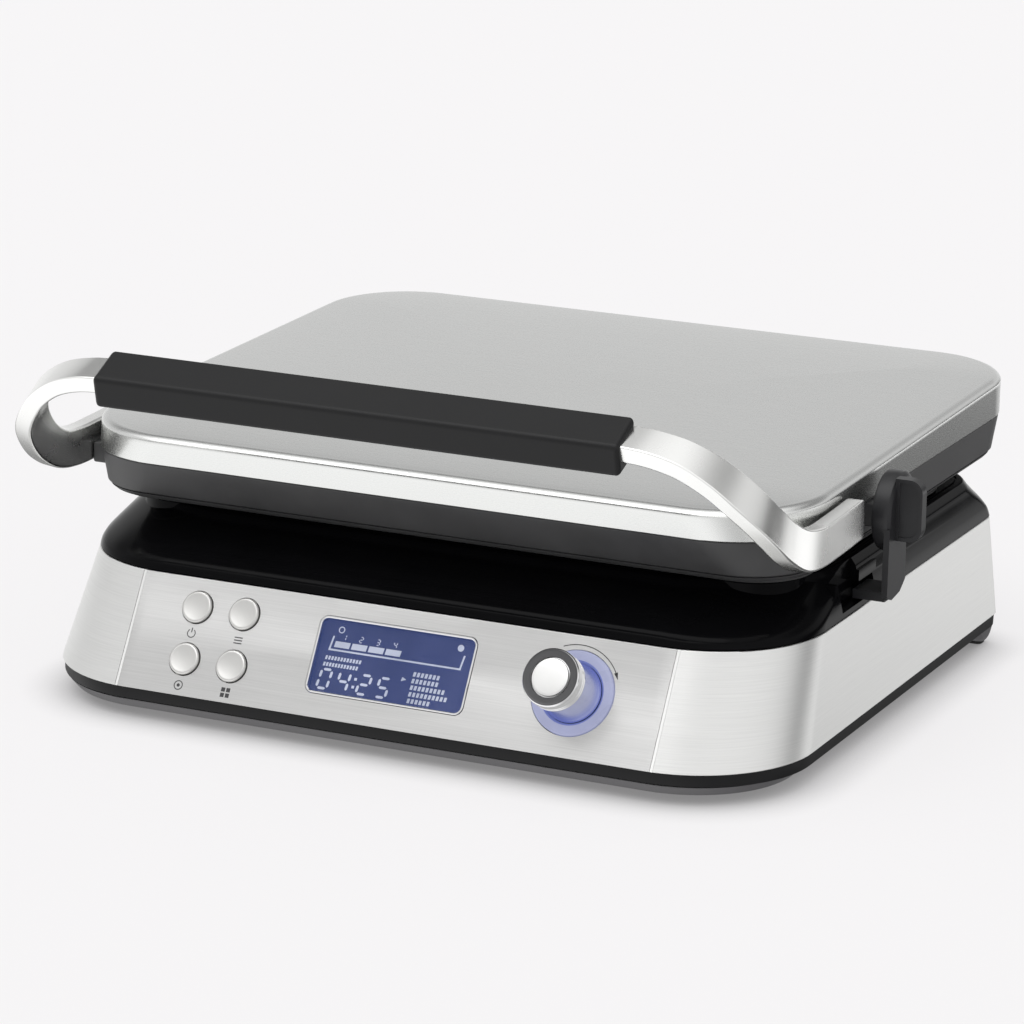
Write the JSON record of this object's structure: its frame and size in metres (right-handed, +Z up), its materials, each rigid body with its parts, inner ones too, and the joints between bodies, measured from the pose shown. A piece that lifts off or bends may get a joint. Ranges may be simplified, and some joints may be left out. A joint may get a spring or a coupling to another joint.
{
  "type": "waffle maker",
  "caption": "Electric waffle maker with a steel-wrapped base, sloped control panel with display and dial, hinged lid, bent bar handle and side latch.",
  "frame": {"origin": "middle of the whole footprint, on the surface that the feet stand on", "axes": "+X to the right along the front panel, +Y from the control panel to the hinge, +Z up"},
  "size_m": [0.3867, 0.365, 0.1713],
  "materials": {
    "brushed_steel": "fine horizontal brush lines, satin",
    "lid_steel": "very fine satin, softly bright at the crease",
    "cast_metal": "satin, smooth, crisp chamfers",
    "button_metal": "satin, slightly domed",
    "chrome": "polished",
    "gloss_black": "high gloss black",
    "frame_black": "satin dark grey",
    "soft_black": "fine satin texture",
    "tray_black": "satin",
    "rubber": "matt",
    "nonstick": "cast aluminium with a dark non-stick coating",
    "steel_parts": "plain sheet and turned steel",
    "heater_sheath": "heat-tinted sheath",
    "display_glass": "clear window",
    "display_panel": "backlit blue display",
    "ring_light": "translucent light pipe, glowing blue",
    "circuit_board": "green solder mask"
  },
  "bodies": {
    "base": {"steel_wrap": "brushed_steel", "control_panel": "brushed_steel", "hinge_bracket_left": "cast_metal", "hinge_bracket_right": "cast_metal", "display_bezel": "chrome", "base_housing": "gloss_black", "bottom_tray": "tray_black", "terminal_block": "tray_black", "foot_front_left": "rubber", "foot_front_right": "rubber", "foot_rear_left": "rubber", "foot_rear_right": "rubber", "power_inlet": "rubber", "lower_plate": "nonstick", "lower_reflector": "steel_parts", "lower_sensor": "steel_parts", "transformer": "steel_parts", "encoder": "steel_parts", "hinge_pin_left": "steel_parts", "hinge_pin_right": "steel_parts", "lower_plate_screw_1": "steel_parts", "lower_plate_screw_2": "steel_parts", "lower_plate_screw_3": "steel_parts", "lower_plate_screw_4": "steel_parts", "lower_heater": "heater_sheath", "thermal_fuse": "heater_sheath", "display_window": "display_glass", "display_module": "display_panel", "light_ring": "ring_light", "power_board": "circuit_board", "control_board": "circuit_board"},
    "lid": {"lid_frame": "frame_black", "lid_shell": "lid_steel", "upper_plate": "nonstick", "upper_reflector": "steel_parts", "upper_heater": "heater_sheath", "upper_sensor": "steel_parts", "upper_plate_screw_1": "steel_parts", "upper_plate_screw_2": "steel_parts", "upper_plate_screw_3": "steel_parts", "upper_plate_screw_4": "steel_parts", "handle_grip": "soft_black", "handle_core": "steel_parts", "handle_arm_left": "cast_metal", "handle_arm_right": "cast_metal", "latch_pivot": "steel_parts", "hinge_arm_left": "cast_metal", "hinge_arm_right": "cast_metal"},
    "latch": {"latch_lever": "soft_black"},
    "knob": {"knob": "chrome", "knob_disc": "button_metal"},
    "button_power": {"button_power": "button_metal"},
    "button_crisp": {"button_crisp": "button_metal"},
    "button_menu": {"button_menu": "button_metal"},
    "button_uniform": {"button_uniform": "button_metal"}
  },
  "joints": [
    {"name": "lid_hinge", "type": "hinge", "parent": "base", "child": "lid", "pos_m": [-0.0083, 0.155, 0.079], "axis": [-1, 0, 0], "range_deg": [0, 100]},
    {"name": "latch_turn", "type": "hinge", "parent": "lid", "child": "latch", "pos_m": [0.1772, -0.019, 0.1045], "axis": [-1, 0, 0], "range_deg": [0, 35]},
    {"name": "knob_turn", "type": "hinge", "parent": "base", "child": "knob", "pos_m": [0.0786, -0.13959, 0.03969], "axis": [0, -0.8643, 0.5029], "continuous": true},
    {"name": "button_power_press", "type": "slide", "parent": "base", "child": "button_power", "axis": [0, 0.8643, -0.5029], "range_m": [0, 0.0012], "stiffness_N_per_m": 800, "springref_m": -0.0005},
    {"name": "button_crisp_press", "type": "slide", "parent": "base", "child": "button_crisp", "axis": [0, 0.8643, -0.5029], "range_m": [0, 0.0012], "stiffness_N_per_m": 800, "springref_m": -0.0005},
    {"name": "button_menu_press", "type": "slide", "parent": "base", "child": "button_menu", "axis": [0, 0.8643, -0.5029], "range_m": [0, 0.0012], "stiffness_N_per_m": 800, "springref_m": -0.0005},
    {"name": "button_uniform_press", "type": "slide", "parent": "base", "child": "button_uniform", "axis": [0, 0.8643, -0.5029], "range_m": [0, 0.0012], "stiffness_N_per_m": 800, "springref_m": -0.0005}
  ]
}
